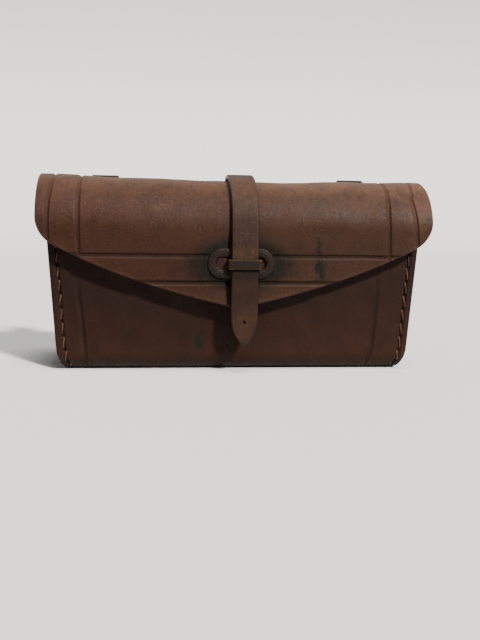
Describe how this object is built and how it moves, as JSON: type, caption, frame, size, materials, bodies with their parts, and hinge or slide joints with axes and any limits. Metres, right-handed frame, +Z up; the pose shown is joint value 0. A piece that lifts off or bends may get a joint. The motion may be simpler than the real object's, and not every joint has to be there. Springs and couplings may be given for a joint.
{
  "type": "motorcycle saddlebag",
  "caption": "Small stitched leather tool bag with rounded top, wide eared flap with a blunt V edge, strap and staple closure, and hanger loops at the back.",
  "frame": {"origin": "middle of the bounding box's footprint, on the ground that the bag stands on", "axes": "+X to the right seen from the front, +Y to the back, +Z up; the flap's hanging side faces -Y"},
  "size_m": [0.22, 0.0716, 0.1108],
  "materials": {
    "body_leather": "dark brown, mottled, worn satin",
    "end_leather": "dark brown, moulded, satin",
    "flap_leather": "mid brown, pressed lines, worn satin",
    "strap_leather": "grey brown, polished by use",
    "loop_leather": "dark brown",
    "thread": "waxed linen, ochre",
    "eyelet_metal": "dark tarnished brass with green corrosion",
    "staple_metal": "dark tarnished brass, bright at its edges",
    "plate_metal": "dull brass",
    "rivet_metal": "dull copper"
  },
  "bodies": {
    "root": {"body_panel": "body_leather", "left_end": "end_leather", "right_end": "end_leather", "left_end_thread": "thread", "right_end_thread": "thread", "left_mount_loop": "loop_leather", "right_mount_loop": "loop_leather", "closure_staple": "staple_metal", "staple_backing_plate": "plate_metal", "strap_root": "strap_leather", "strap_rivet_lower": "rivet_metal", "strap_burr_lower": "rivet_metal", "strap_rivet_upper": "rivet_metal", "strap_burr_upper": "rivet_metal", "left_loop_rivet_lower": "rivet_metal", "left_loop_burr_lower": "rivet_metal", "left_loop_rivet_upper": "rivet_metal", "left_loop_burr_upper": "rivet_metal", "right_loop_rivet_lower": "rivet_metal", "right_loop_burr_lower": "rivet_metal", "right_loop_rivet_upper": "rivet_metal", "right_loop_burr_upper": "rivet_metal"},
    "flap": {"flap": "flap_leather", "flap_eyelet": "eyelet_metal", "flap_eyelet_washer": "eyelet_metal", "strap_over": "strap_leather"},
    "strap_tail": {"strap_tail": "strap_leather"}
  },
  "joints": [
    {"name": "flap_hinge", "type": "hinge", "parent": "root", "child": "flap", "pos_m": [0, 0.0051, 0.108], "axis": [-1, 0, 0], "range_deg": [0, 150]},
    {"name": "strap_slide", "type": "slide", "parent": "flap", "child": "strap_tail", "axis": [0, 0, 1], "range_m": [0, 0.048], "deforming": ["strap_over"]}
  ]
}
